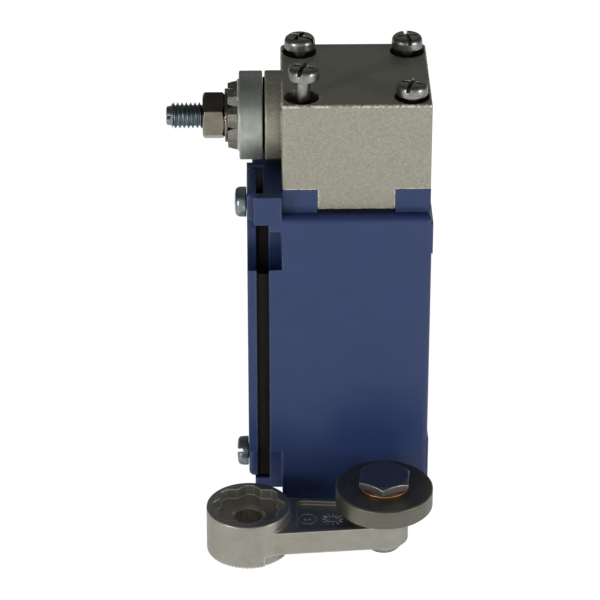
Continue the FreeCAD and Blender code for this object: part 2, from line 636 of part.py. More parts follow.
def lever_arm():
    length = (PIN - HUB).Length
    hub = Part.makeCylinder(HUB_R, HUB_H, HUB)
    hub = hub.makeFillet(0.4, [e for e in hub.Edges if e.BoundBox.ZMin > HUB_H - 0.01])
    corners = [(0, -ARM_R_HUB), (length, -ARM_R_END), (length, ARM_R_END), (0, ARM_R_HUB)]
    web = polygon([arm_frame((u, s, ARM_Z[0])) for u, s in corners]).extrude(V(0, 0, ARM_Z[1] - ARM_Z[0]))
    end = Part.makeCylinder(ARM_R_END, BOSS_TOP - ARM_Z[0], V(PIN.x, PIN.y, ARM_Z[0]))
    body = fuse([hub, web, end, Part.makeCone(FOOT_BOSS_R, ARM_R_END - 0.1, ARM_Z[0] + 0.01, PIN)])
    inner_corners = [e for e in body.Edges if abs(e.BoundBox.ZLength - ARM_Z[1] + ARM_Z[0]) < 0.05
                     and e.BoundBox.XLength < 0.01 and e.BoundBox.XMin < 0]
    body = body.makeFillet(2.0, inner_corners)

    star = Part.Face(star_outline(8.5, 7.2, math.radians(88), 0)).extrude(V(0, 0, 5))
    star.translate(V(HUB.x, HUB.y, HUB_H - SOCKET_DEPTH))
    mouth = Part.makeCone(LEVER_BORE, LEVER_BORE + 0.55, 0.55,
                          V(HUB.x, HUB.y, HUB_H - SOCKET_DEPTH - 0.54))
    grooves = groove_set(HUB_TEETH, 5.0, 11.0, 0, 0.34, 0.5)
    grooves.rotate(V(0, 0, 0), X, 180)
    grooves.translate(HUB)
    u0, u1, rim = 11.4, 25.2, 1.2
    pocket = polygon([arm_frame((u, s, ARM_Z[1] - 1.0)) for u, s in
                      ((u0, -arm_half(u0) + rim), (u1, -arm_half(u1) + rim),
                       (u1, arm_half(u1) - rim), (u0, arm_half(u0) - rim))]).extrude(V(0, 0, 3))
    pocket = pocket.makeFillet(1.5, [e for e in pocket.Edges if e.BoundBox.ZLength > 2])
    relief = Part.makeCylinder(HUB_R + 2, ARM_Z[0] + 0.1, V(HUB.x, HUB.y, -0.1), Z, 58)
    relief = relief.cut(Part.makeCylinder(HUB_R - 0.35, 20, V(HUB.x, HUB.y, -1)))
    relief.rotate(HUB, Z, -68)
    cuts = [star, mouth, grooves, pocket, relief, Part.makeCylinder(LEVER_BORE, 20, V(HUB.x, HUB.y, -1)),
            Part.makeCylinder(PIN_R + FIT, 20, V(PIN.x, PIN.y, 0))]
    return body.cut(Part.makeCompound(cuts))


def roller_pin():
    shank = Part.makeCylinder(PIN_R, HEX_Z[0] + 0.2, V(PIN.x, PIN.y, 0.1))
    height = HEX_Z[1] - HEX_Z[0]
    head = hexagon(HEX_AF, math.radians(-96), V(0, 0, 0), height)
    r = HEX_AF / 2 * 0.98
    trim = Part.makeCylinder(r + 1.3, height - 0.7).fuse(Part.makeCone(r + 1.3, r, 0.7, V(0, 0, height - 0.7)))
    head = head.common(trim)
    head.translate(V(PIN.x, PIN.y, HEX_Z[0]))
    collar = rod(COLLAR_R, THIN_WASHER_Z[1] + 0.02, HEX_Z[0] + 0.2, (PIN.x, PIN.y), Z)
    return fuse([shank, collar, head])


def roller_washer():
    plate = rod(THIN_WASHER_R, THIN_WASHER_Z[0], THIN_WASHER_Z[1], (PIN.x, PIN.y), Z)
    return plate.cut(rod(PIN_R + RUN, ROLLER_Z[1], HEX_Z[0], (PIN.x, PIN.y), Z))


def roller_wheel():
    wheel = Part.makeCylinder(ROLLER_R, ROLLER_Z[1] - ROLLER_Z[0], V(PIN.x, PIN.y, ROLLER_Z[0]))
    wheel = wheel.makeChamfer(0.35, [wheel.Edges[0], wheel.Edges[2]])
    return wheel.cut(Part.makeCylinder(ROLLER_BUSH_R + FIT, 10, V(PIN.x, PIN.y, 10)))


def roller_bush():
    tube = Part.makeCylinder(ROLLER_BUSH_R, ROLLER_Z[1] - ROLLER_Z[0], V(PIN.x, PIN.y, ROLLER_Z[0]))
    return tube.cut(Part.makeCylinder(PIN_R + RUN, 10, V(PIN.x, PIN.y, 10)))


def nodes():
    yield "body_shell", body_shell()
    yield "front_cover", front_cover()
    yield "cover_gasket", cover_gasket()
    yield "cover_screws", cover_screws()
    yield "head_seal", head_seal()
    yield "earth_screw", earth_screw()
    yield "head_block", head_block()
    yield "head_screws", head_screws()
    yield "head_screw_loose", head_screw_loose()
    yield "shaft_bush", shaft_bush()
    yield "dust_seal", dust_seal()
    yield "lever_shaft", lever_shaft()
    yield "shaft_cam", shaft_cam()
    yield "cam_pin", cam_pin()
    yield "shaft_seal", o_ring(3.58, 0.41, V(-17.75, 0, AXIS_Z), X)
    yield "retaining_ring", retaining_ring()
    yield "drive_ring", drive_ring()
    yield "star_boss", star_boss()
    yield "lock_washer", lock_washer()
    yield "lever_nut", lever_nut()
    yield "head_plunger", head_plunger()
    yield "plunger_guide", plunger_guide()
    yield "plunger_seal", plunger_seal()
    yield "plunger_spring", plunger_spring()
    yield "block_housing", block_housing()
    yield "block_cover", block_cover()
    yield "block_screws", block_screws()
    for name, side in (("left", -1), ("right", 1)):
        yield "terminal_nc_" + name, terminal(side, True)
        yield "terminal_no_" + name, terminal(side, False)
    yield "terminal_screws", terminal_screws()
    yield "terminal_clamps", terminal_clamps()
    yield "contact_carrier", contact_carrier()
    yield "bridge_nc", bridge(BRIDGE_NC_Z, True)
    yield "bridge_no", bridge(BRIDGE_NO_Z, False)
    yield "bridge_spring_nc", coil(1.3, 0.15, 49.52, BRIDGE_NC_Z - 0.02, 4)
    yield "bridge_spring_no", coil(1.3, 0.15, BRIDGE_NO_Z + 0.82, 47.28, 4)
    yield "block_spring", block_spring()
    yield "lever_arm", lever_arm()
    yield "roller_pin", roller_pin()
    yield "roller_washer", roller_washer()
    yield "roller_wheel", roller_wheel()
    yield "roller_bush", roller_bush()


os.makedirs("parts", exist_ok=True)
for node_name, shape in nodes():
    if not shape.isValid() or not shape.Solids:
        raise RuntimeError(node_name + " is not a valid solid")
    print(node_name, len(shape.Solids), round(shape.Volume, 1))
    shape.exportStep("parts/" + node_name + ".step")
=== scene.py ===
import bmesh
import bpy
import json
import math
from mathutils import Matrix, Vector


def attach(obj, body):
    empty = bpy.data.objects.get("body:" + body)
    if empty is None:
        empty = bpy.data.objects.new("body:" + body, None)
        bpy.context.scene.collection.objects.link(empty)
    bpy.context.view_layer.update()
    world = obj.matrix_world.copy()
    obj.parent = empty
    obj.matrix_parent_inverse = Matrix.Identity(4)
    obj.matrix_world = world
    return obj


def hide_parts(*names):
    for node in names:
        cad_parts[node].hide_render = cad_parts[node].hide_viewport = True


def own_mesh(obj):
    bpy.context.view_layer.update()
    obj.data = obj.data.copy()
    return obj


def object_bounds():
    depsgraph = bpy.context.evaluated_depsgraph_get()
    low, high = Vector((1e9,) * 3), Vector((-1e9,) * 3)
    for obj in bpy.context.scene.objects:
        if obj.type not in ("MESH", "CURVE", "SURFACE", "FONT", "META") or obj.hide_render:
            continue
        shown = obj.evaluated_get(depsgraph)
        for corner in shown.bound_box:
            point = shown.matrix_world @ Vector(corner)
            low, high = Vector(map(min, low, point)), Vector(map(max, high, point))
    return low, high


# Limit switch whose roller lever lies on the floor in front of it: materials, screws, threads,
# springs, cast marks, floor, light and camera.
# Lengths are in millimetres, in the part's axes, and MM turns them into metres. The stage,
# lights and camera at the end are in metres.

MM = 0.001
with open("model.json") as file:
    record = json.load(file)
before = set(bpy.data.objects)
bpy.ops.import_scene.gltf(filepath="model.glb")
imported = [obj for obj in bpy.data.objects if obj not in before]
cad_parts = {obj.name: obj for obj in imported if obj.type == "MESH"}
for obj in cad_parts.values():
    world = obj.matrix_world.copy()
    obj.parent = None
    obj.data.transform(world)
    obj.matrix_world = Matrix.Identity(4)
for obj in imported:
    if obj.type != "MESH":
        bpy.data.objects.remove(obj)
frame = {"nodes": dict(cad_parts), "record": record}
cad_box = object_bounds()

UP, SHAFT_AXIS = (0, 0, 1), (1, 0, 0)
AXIS_Z = 95.4            # height of the lever shaft
SHAFT_AT = Vector((0, 0, AXIS_Z))
HEAD_TOP = 105.7
HUB = Vector((-25.3, -35.5, 0))      # axis of the lever's hub
PIN = Vector((6.47, -35.6, 0))       # axis of the roller pin
BORE_R = 3.25            # bore of the lever's hub
POCKET_FLOOR = 7.4       # floor of the pocket in the lever's arm

SCREW_AT = 12.5          # head screws, from the head's middle
SCREW_UNDER, NEAR_UNDER, LOOSE_UNDER = 106.8, 106.4, 110.5   # undersides of their heads
LEAN_HEIGHT = 93.0       # the loose screw leans about this height
LOOSE_LEAN = 1.5         # degrees
COVER_FACE = -25.2       # undersides of the cover screws' heads


# ---- node materials ---------------------------------------------------------

MIX_A, MIX_B = 6, 7              # the Mix node's two colour sockets
EDGE_SPAN = (0.985, 0.82)        # cosine between face and bevel normal, off and on an edge
GAP_SHADE_FULL = 0.95                  # closeness at which the painted shade in a gap is darkest
SPECK_CELL = 6                   # size of a speck's cell, in specks
SPECK_SPAN = (0.13, 0.05)        # distance from the cell's point, outside and inside a speck
RIM_BAND = (0.7, 0.5)            # rim of the head's top, rubbed bright and given a painted highlight: below the top, from and to
RIM_LEAN = (0.97, 0.85)          # and how far its face has turned from upward
BORE_SPAN = (1.02, 1.01)         # where the bore's painted light fades in: outside and inside the bore, in bore radii
GLOW, GLOW_SHARE = 1.12, 0.88    # of the floor, for the camera only


class Paint:
    """Builds one procedural material. Arguments that end in _mm are in millimetres."""

    def __init__(self, name, metallic=0.0):
        self.material = bpy.data.materials.new(name)
        self.material.use_nodes = True
        self.nodes = self.material.node_tree.nodes
        self.links = self.material.node_tree.links
        self.shader = self.nodes["Principled BSDF"]
        self.shader.inputs["Metallic"].default_value = metallic
        self.place = self.add("ShaderNodeTexCoord").outputs["Object"]
        self.normal = None

    def add(self, kind, **settings):
        node = self.nodes.new(kind)
        for key, value in settings.items():
            setattr(node, key, value)
        return node

    def feed(self, value, socket):
        """Links a socket to an input, or sets the input to a plain value."""
        if isinstance(value, bpy.types.NodeSocket):
            self.links.new(value, socket)
        else:
            socket.default_value = value

    def math(self, operation, a, b=0.0, clamp=False):
        node = self.add("ShaderNodeMath", operation=operation, use_clamp=clamp)
        self.feed(a, node.inputs[0])
        self.feed(b, node.inputs[1])
        return node.outputs[0]

    def noise(self, size_mm, detail=2.0, rough=0.5, at=None, stretch=None):
        """Noise with features about size_mm across, from 0 to 1."""
        at = at or self.place
        if stretch:
            scale = self.add("ShaderNodeVectorMath", operation="MULTIPLY")
            self.feed(at, scale.inputs[0])
            scale.inputs[1].default_value = stretch
            at = scale.outputs[0]
        node = self.add("ShaderNodeTexNoise")
        self.feed(at, node.inputs["Vector"])
        node.inputs["Scale"].default_value = 1 / (size_mm * MM)
        node.inputs["Detail"].default_value = detail
        node.inputs["Roughness"].default_value = rough
        return node.outputs["Fac"]

    def voronoi(self, size_mm):
        """Cells about size_mm across: each cell's random level, and the distance to its point."""
        node = self.add("ShaderNodeTexVoronoi")
        self.feed(self.place, node.inputs["Vector"])
        node.inputs["Scale"].default_value = 1 / (size_mm * MM)
        split = self.add("ShaderNodeSeparateColor")
        self.feed(node.outputs["Color"], split.inputs[0])
        return split.outputs[0], node.outputs["Distance"]

    def specks(self, size_mm, share):
        """1 in scattered dots, 0 elsewhere. share is how many of the cells have a dot."""
        level, distance = self.voronoi(size_mm * SPECK_CELL)
        near = self.span(distance, *SPECK_SPAN)
        return self.math("MULTIPLY", near, self.math("LESS_THAN", level, share))

    def span(self, value, low, high, to_low=0.0, to_high=1.0):
        """Maps low..high onto to_low..to_high, clamped."""
        node = self.add("ShaderNodeMapRange")
        self.feed(value, node.inputs["Value"])
        for name, number in (("From Min", low), ("From Max", high),
                             ("To Min", to_low), ("To Max", to_high)):
            node.inputs[name].default_value = number
        return node.outputs[0]

    def blend(self, amount, a, b):
        """Colour a where amount is 0, colour b where it is 1."""
        node = self.add("ShaderNodeMix", data_type="RGBA")
        self.feed(amount, node.inputs["Factor"])
        for colour, socket in ((a, node.inputs[MIX_A]), (b, node.inputs[MIX_B])):
            self.feed(colour if isinstance(colour, bpy.types.NodeSocket) else (*colour, 1), socket)
        return node.outputs[2]

    def parts(self, vector):
        """The x, y and z of a vector."""
        node = self.add("ShaderNodeSeparateXYZ")
        self.feed(vector, node.inputs[0])
        return node.outputs

    def around(self, centre, axis):
        """Coordinates (distance from an axis, place along it, 0) in metres, for turned work."""
        shift = self.add("ShaderNodeVectorMath", operation="SUBTRACT")
        self.feed(self.place, shift.inputs[0])
        shift.inputs[1].default_value = [c * MM for c in centre]
        along = self.add("ShaderNodeVectorMath", operation="DOT_PRODUCT")
        self.feed(shift.outputs[0], along.inputs[0])
        along.inputs[1].default_value = axis
        flat = self.add("ShaderNodeVectorMath", operation="MULTIPLY")
        self.feed(shift.outputs[0], flat.inputs[0])
        flat.inputs[1].default_value = [1 - abs(a) for a in axis]
        size = self.add("ShaderNodeVectorMath", operation="LENGTH")
        self.feed(flat.outputs[0], size.inputs[0])
        pair = self.add("ShaderNodeCombineXYZ")
        self.feed(size.outputs["Value"], pair.inputs[0])
        self.feed(along.outputs["Value"], pair.inputs[1])
        return pair.outputs[0]

    def rounded(self, radius_mm, reach_mm=0.7):
        """Softens the edges' shading and returns 1 on an edge, 0 away from it."""
        self.normal = self.bevel(radius_mm)
        lean = self.add("ShaderNodeVectorMath", operation="DOT_PRODUCT")
        self.feed(self.bevel(reach_mm), lean.inputs[0])
        self.feed(self.add("ShaderNodeNewGeometry").outputs["Normal"], lean.inputs[1])
        return self.span(lean.outputs["Value"], *EDGE_SPAN)

    def bevel(self, radius_mm):
        node = self.add("ShaderNodeBevel", samples=6)
        node.inputs["Radius"].default_value = radius_mm * MM
        return node.outputs[0]

    def closeness(self, reach_mm):
        """How far the surroundings within reach are filled by surfaces, 0 to 1."""
        node = self.add("ShaderNodeAmbientOcclusion", samples=8)
        node.inputs["Distance"].default_value = reach_mm * MM
        return self.math("SUBTRACT", 1.0, node.outputs["AO"], clamp=True)

    def paint_gap_shade(self, tone, reach_mm, start, keep):
        """Paints shade into gaps: darkens a tone to a share of itself where surfaces close in round
        it.
        """
        gap = self.span(self.closeness(reach_mm), start, GAP_SHADE_FULL)
        return self.blend(gap, tone, self.blend(1.0 - keep, tone, (0, 0, 0)))

    def bump(self, height, depth_mm):
        """Adds relief on top of the normal made so far."""
        node = self.add("ShaderNodeBump")
        node.inputs["Strength"].default_value = 1.0
        node.inputs["Distance"].default_value = depth_mm * MM
        self.feed(height, node.inputs["Height"])
        if self.normal is not None:
            self.feed(self.normal, node.inputs["Normal"])
        self.normal = node.outputs[0]

    def finish(self, colour, roughness):
        self.feed(colour, self.shader.inputs["Base Color"])
        self.feed(roughness, self.shader.inputs["Roughness"])
        if self.normal is not None:
            self.feed(self.normal, self.shader.inputs["Normal"])
        return self.material


def lighter(tone, times, more=0.0):
    return tuple(min(1, c * times + more) for c in tone)


def darker(tone, times):
    return tuple(c * times for c in tone)


def enamel():
    """Gloss stove enamel: orange peel; lighter patches along the edges, partly thinner paint and
    partly a painted highlight; light specks along them, partly dust and partly painted glints;
    painted shade in its gaps.
    """
    p = Paint("blue_enamel")
    p.shader.inputs["Specular IOR Level"].default_value = 0.36
    edge = p.rounded(0.5)
    cloud = p.noise(9.0, 3)
    tone = p.blend(p.span(cloud, 0.3, 0.7), (0.020, 0.037, 0.112), (0.023, 0.041, 0.122))
    # lighter patches along the edges: thinner paint, and a painted highlight
    thin_paint_and_highlight = p.math("MULTIPLY", edge, p.span(p.noise(0.9, 3), 0.35, 0.65))
    tone = p.blend(p.math("MULTIPLY", thin_paint_and_highlight, 0.65), tone, (0.12, 0.15, 0.29))
    # light specks along the edges: dust, and painted glints
    dust_and_glint_edge = p.math("MULTIPLY", edge, p.span(p.noise(3.0, 2), 0.5, 0.58))
    dust_and_glints = p.math("MULTIPLY", p.specks(0.10, 0.35), dust_and_glint_edge)
    tone = p.blend(dust_and_glints, tone, (0.60, 0.62, 0.68))
    # painted shade in gaps
    tone = p.paint_gap_shade(tone, 3.0, 0.5, 0.05)
    p.bump(p.noise(1.3, 2, 0.4), 0.006)
    p.bump(p.noise(5.0, 1), 0.012)
    rough = p.span(p.noise(2.2, 3), 0.3, 0.7, 0.29, 0.36)
    return p.finish(tone, rough)


def sand_casting():
    """Metallic paint over a sand-textured casting, rubbed bright along its edges and its top's rim
    with a painted highlight there too, and painted shade in its gaps.
    """
    p = Paint("head_casting", metallic=0.66)
    edge = p.rounded(0.3, 0.9)
    grain = p.voronoi(0.26)[0]
    fine = p.noise(0.42, 2, 0.6)
    tone = p.blend(p.span(grain, 0.1, 0.9), (0.28, 0.27, 0.215), (0.38, 0.37, 0.305))
    tone = p.blend(p.span(fine, 0.6, 0.75, 0.0, 0.5), tone, (0.50, 0.49, 0.42))
    height = p.parts(p.place)[2]
    upward = p.parts(p.add("ShaderNodeNewGeometry").outputs["Normal"])[2]
    near_top = p.span(height, *((HEAD_TOP - below) * MM for below in RIM_BAND))
    rim = p.math("MULTIPLY", near_top, p.span(upward, *RIM_LEAN))
    # edges and the top's rim: rubbed bright, and a painted highlight
    rub_and_highlight = p.math("MULTIPLY", p.math("MAXIMUM", edge, rim), p.span(p.noise(0.7, 3), 0.42, 0.58))
    tone = p.blend(p.math("MULTIPLY", rub_and_highlight, 0.8), tone, (0.90, 0.88, 0.78))
    # painted shade in gaps and counterbores
    tone = p.paint_gap_shade(tone, 4.0, 0.24, 0.02)
    p.bump(fine, 0.03)
    p.bump(grain, 0.008)
    rough = p.span(grain, 0.0, 1.0, 0.44, 0.60)
    return p.finish(tone, rough)


def tumbled():
    """Satin tumbled casting: faint rubbing marks, nicks, bright edges that are partly rubbed and
    partly a painted highlight, painted shade in its gaps, and a rough bore painted light as if lit
    inside.
    """
    p = Paint("lever_casting", metallic=0.9)
    edge = p.rounded(0.35, 0.6)
    streak = p.noise(0.35, 3, 0.6, stretch=(0.05, 0.05, 1.0))
    cloud = p.noise(3.2, 4, 0.55)
    tone = p.blend(p.span(cloud, 0.3, 0.7), (0.30, 0.287, 0.240), (0.355, 0.342, 0.295))
    tone = p.blend(p.span(streak, 0.45, 0.75, 0.0, 0.18), tone, (0.46, 0.45, 0.40))
    tone = p.blend(p.specks(0.16, 0.16), tone, (0.17, 0.16, 0.14))
    # bright edges: rubbed metal, and a painted highlight
    tone = p.blend(p.math("MULTIPLY", edge, 0.8), tone, (0.78, 0.77, 0.71))
    from_hub = p.parts(p.around(HUB, UP))[0]
    bore = p.span(from_hub, *(BORE_R * MM * times for times in BORE_SPAN))
    # painted shade in gaps
    tone = p.paint_gap_shade(tone, 2.5, 0.5, 0.10)
    grit = p.noise(0.6, 4, 0.6)
    # the bore's wall is painted light, as if lit from the front
    lit_bore_tone = p.blend(p.span(grit, 0.3, 0.7), (0.50, 0.46, 0.38), (0.85, 0.80, 0.70))
    tone = p.blend(bore, tone, lit_bore_tone)
    p.bump(p.noise(1.3, 3), 0.02)
    p.bump(p.math("MULTIPLY", grit, bore), 0.15)
    p.bump(streak, 0.003)
    rough = p.span(p.noise(0.9, 4, 0.6), 0.3, 0.7, 0.36, 0.46)
    return p.finish(tone, rough)


def turned(name, dark, light, centre, axis, metallic, rough, ring_mm=0.16, ring_depth=0.004,
           edge_highlight_tone=None, stain=0.2, stain_tone=None, wave=0.002):
    """Turned or ground metal: fine rings round its axis, stains, and a painted highlight along its
    edges.
    """
    p = Paint(name, metallic=metallic)
    edge = p.rounded(0.2, 0.4)
    lathe = p.around(centre, axis)
    rings = p.noise(ring_mm, 3, 0.7, at=lathe)
    cloud = p.noise(2.4, 4, 0.6)
    tone = p.blend(p.span(rings, 0.3, 0.7), dark, light)
    tone = p.blend(p.span(cloud, 0.45, 0.75, 0.0, stain), tone, stain_tone or darker(dark, 0.5))
    # painted highlight along the edges
    tone = p.blend(p.math("MULTIPLY", edge, 0.8), tone, edge_highlight_tone or lighter(light, 1.6))
    p.bump(rings, ring_depth)
    p.bump(p.noise(0.9, 2), wave)
    return p.finish(tone, p.span(p.noise(1.2, 4, 0.6), 0.3, 0.7, *rough))


def nickel():
    """Bright plate, a little wavy and brownish, with a painted highlight on its edges and painted
    shade in its hollows.
    """
    p = Paint("nickel_plate", metallic=1.0)
    edge = p.rounded(0.45, 0.6)
    cloud = p.noise(2.0, 3)
    tone = p.blend(p.span(cloud, 0.35, 0.7), (0.165, 0.15, 0.115), (0.215, 0.20, 0.16))
    # painted highlight along the edges
    tone = p.blend(p.math("MULTIPLY", edge, 0.45), tone, (0.60, 0.58, 0.50))
    # painted shade in hollows
    tone = p.paint_gap_shade(tone, 1.5, 0.45, 0.2)
    p.bump(p.noise(1.1, 2, 0.5), 0.008)
    p.bump(p.noise(2.6, 2), 0.04)
    return p.finish(tone, p.span(p.noise(0.6, 4, 0.6), 0.3, 0.75, 0.12, 0.24))


def screw_plate(name, dark, light, rough, film=None):
    """Zinc over a cold-headed screw, with painted shade in its recess and a painted highlight on
    its edges; film is a second tone in patches.
    """
    p = Paint(name, metallic=1.0)
    edge = p.rounded(0.22, 0.4)
    cloud = p.noise(1.6, 3, 0.5)
    tone = p.blend(p.span(cloud, 0.3, 0.7), dark, light)
    if film:
        tone = p.blend(p.span(p.noise(2.4, 2), 0.42, 0.6, 0.0, 0.7), tone, film)
    tone = p.blend(p.specks(0.12, 0.15), tone, darker(dark, 0.35))
    # painted highlight along the edges
    tone = p.blend(p.math("MULTIPLY", edge, 0.7), tone, lighter(light, 1.6))
    # painted shade in the recess
    tone = p.paint_gap_shade(tone, 1.8, 0.45, 0.02)
    p.bump(p.noise(0.9, 2, 0.5), 0.003)
    return p.finish(tone, p.span(p.noise(0.9, 3), 0.3, 0.7, *rough))


def forged():
    """Dark sintered steel of the star boss, with a painted highlight on its edges and painted shade
    in its gaps.
    """
    p = Paint("star_steel", metallic=0.8)
    edge = p.rounded(0.15, 0.4)
    grit = p.noise(0.4, 3, 0.65)
    tone = p.blend(p.span(grit, 0.35, 0.65), (0.11, 0.105, 0.085), (0.26, 0.25, 0.215))
    # painted highlight along the edges
    tone = p.blend(p.math("MULTIPLY", edge, 0.45), tone, (0.48, 0.46, 0.40))
    # painted shade in gaps
    tone = p.paint_gap_shade(tone, 1.8, 0.40, 0.03)
    p.bump(grit, 0.05)
    return p.finish(tone, p.span(grit, 0.3, 0.7, 0.42, 0.62))


def rubber():
    """Moulded rubber with lint on it."""
    p = Paint("black_rubber")
    p.shader.inputs["Specular IOR Level"].default_value = 0.16
    grit = p.noise(0.4, 4, 0.6)
    tone = p.blend(p.span(grit, 0.35, 0.7), (0.0045, 0.0042, 0.0038), (0.009, 0.0085, 0.0075))
    lint = p.math("MULTIPLY", p.specks(0.11, 0.10), p.span(p.noise(4.0, 2), 0.45, 0.6))
    tone = p.blend(lint, tone, (0.13, 0.12, 0.11))
    p.bump(grit, 0.02)
    return p.finish(tone, p.span(grit, 0.3, 0.7, 0.7, 0.9))


def moulding(name, dark, light):
    """Moulded plastic with a fine spark-eroded grain and a painted highlight on its edges."""
    p = Paint(name)
    edge = p.rounded(0.15)
    grain = p.noise(0.3, 3, 0.6)
    tone = p.blend(p.span(p.noise(3.0, 3), 0.3, 0.7), dark, light)
    # painted highlight along the edges
    tone = p.blend(p.math("MULTIPLY", edge, 0.3), tone, lighter(light, 1.5, 0.01))
    p.bump(grain, 0.01)
    return p.finish(tone, p.span(grain, 0.3, 0.7, 0.4, 0.55))


def floor_paper():
    """White table lit from below: it glows for the camera and keeps only a faint shadow."""
    p = Paint("studio_floor")
    cloud = p.noise(140.0, 2)
    tone = p.blend(p.span(cloud, 0.3, 0.7), (0.86, 0.86, 0.86), (0.88, 0.88, 0.88))
    material = p.finish(tone, p.span(cloud, 0.3, 0.7, 0.88, 0.92))
    glow = p.add("ShaderNodeEmission")
    glow.inputs["Strength"].default_value = GLOW
    share = p.math("MULTIPLY", p.add("ShaderNodeLightPath").outputs["Is Camera Ray"], GLOW_SHARE)
    mix = p.add("ShaderNodeMixShader")
    p.feed(share, mix.inputs[0])
    p.links.new(p.shader.outputs[0], mix.inputs[1])
    p.links.new(glow.outputs[0], mix.inputs[2])
    p.links.new(mix.outputs[0], p.nodes["Material Output"].inputs["Surface"])
    return material


# A finish's two tones are the surface's darkest and lightest. The pair of numbers is its
# roughness range, and the number before it, where there is one, how metallic it is.
materials = {
    "blue_paint": enamel(),
    "cast_head": sand_casting(),
    "cast_lever": tumbled(),
    "star_metal": forged(),
    "zinc_plate": turned("dull_zinc", (0.39, 0.416, 0.367), (0.46, 0.488, 0.432), SHAFT_AT,
                         SHAFT_AXIS, 0.8, (0.38, 0.52), ring_mm=0.5, ring_depth=0.003,
                         stain=0.35, stain_tone=(0.20, 0.225, 0.20)),
    "nickel": nickel(),
    "screw_steel": screw_plate("screw_zinc", (0.22, 0.217, 0.20), (0.31, 0.306, 0.285),
                               (0.29, 0.38)),
    "stud_steel": screw_plate("blue_zinc", (0.16, 0.20, 0.215), (0.27, 0.32, 0.335),
                              (0.29, 0.36), film=(0.30, 0.36, 0.38)),
    "roller_steel": turned("ground_steel", (0.14, 0.132, 0.108), (0.18, 0.172, 0.142), PIN, UP,
                           0.9, (0.34, 0.46), ring_mm=0.22, ring_depth=0.003, stain=0.25),
    # the pin's light edge colour below is its painted highlight
    "pin_steel": turned("pin_steel", (0.25, 0.25, 0.23), (0.30, 0.30, 0.28), PIN, UP, 1.0,
                        (0.29, 0.34), ring_mm=0.4, ring_depth=0.0005,
                        edge_highlight_tone=(0.80, 0.80, 0.74), stain=0.1, wave=0.0008),
    "bronze": turned("sintered_bronze", (0.38, 0.18, 0.07), (0.62, 0.33, 0.14), PIN, UP, 0.9,
                     (0.35, 0.5), ring_mm=0.4),
    "rubber": rubber(),
    "black_plastic": moulding("black_moulding", (0.012, 0.012, 0.013), (0.022, 0.022, 0.024)),
    "grey_plastic": moulding("grey_moulding", (0.20, 0.20, 0.19), (0.26, 0.26, 0.25)),
    "white_plastic": moulding("white_moulding", (0.66, 0.65, 0.60), (0.76, 0.75, 0.71)),
    "contact_brass": screw_plate("stamped_brass", (0.60, 0.42, 0.16), (0.80, 0.60, 0.28),
                                 (0.29, 0.38)),
    "spring_steel": screw_plate("spring_wire", (0.40, 0.40, 0.41), (0.55, 0.55, 0.56),
                                (0.29, 0.36)),
    "cam_steel": turned("hard_steel", (0.26, 0.26, 0.27), (0.36, 0.36, 0.37), SHAFT_AT,
                        SHAFT_AXIS, 1.0, (0.29, 0.36)),
}
node_slot = {row["node"]: row["material_slot"] for row in frame["record"]["subparts"]}
for node, obj in frame["nodes"].items():
    for slot in obj.material_slots:
        slot.material = materials[node_slot[node]]


# ---- pieces built here ------------------------------------------------------

SMOOTH_ANGLE = math.radians(35)
THREAD_PHASE = 0.2       # where the crests start round the axis, as a share of a turn
THREAD_FORM = 0.58       # depth of a screw's thread, as a share of its pitch
SLOT_DEPTH, CROSS_DEPTH = 1.35, 1.8      # recesses in the screws' heads
SHOULDER, SHOULDER_STEPS = 1.05, 8       # rounding of a pan head, and its steps
DOME = 0.16              # how far a pan head's middle stands above its shoulder
COIL_CLOSING = 0.09      # how far a coil's end turns lie closed
SUNK = 0.02              # the marks start this far below the pocket's floor


def link(obj):
    bpy.context.scene.collection.objects.link(obj)
    return obj


def turn(degrees, axis="Z"):
    return Matrix.Rotation(math.radians(degrees), 4, axis)


def shift(x, y, z):
    return Matrix.Translation((x, y, z))


def add_piece(name, mesh, slot_name, body, stands_for=()):
    """Puts a mesh in the scene as a piece that moves with a body."""
    obj = link(bpy.data.objects.new(name, mesh))
    mesh.materials.append(materials[slot_name])
    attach(obj, body)
    if stands_for:
        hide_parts(*stands_for)
    return obj


def to_mesh(name, bm, place):
    """Finishes a bmesh drawn in millimetres and puts it in place."""
    bmesh.ops.recalc_face_normals(bm, faces=bm.faces)
    bmesh.ops.transform(bm, matrix=place, verts=bm.verts)
    bmesh.ops.scale(bm, vec=(MM, MM, MM), verts=bm.verts)
    mesh = bpy.data.meshes.new(name)
    bm.to_mesh(mesh)
    bm.free()
    mesh.shade_smooth()
    mesh.set_sharp_from_angle(angle=SMOOTH_ANGLE)
    return mesh


def thread_depth(z, angle, pitch, depth):
    """How far a 60-degree thread is cut below its crests at this height and angle."""
    t = (z / pitch + THREAD_PHASE - angle / (2 * math.pi)) % 1.0
    t = abs(t - 0.5) * 2                     # 1 on the crest, 0 in the root
    crest, root = 0.88, 0.22
    return depth * (1 - min(1.0, max(0.0, (t - root) / (crest - root))))


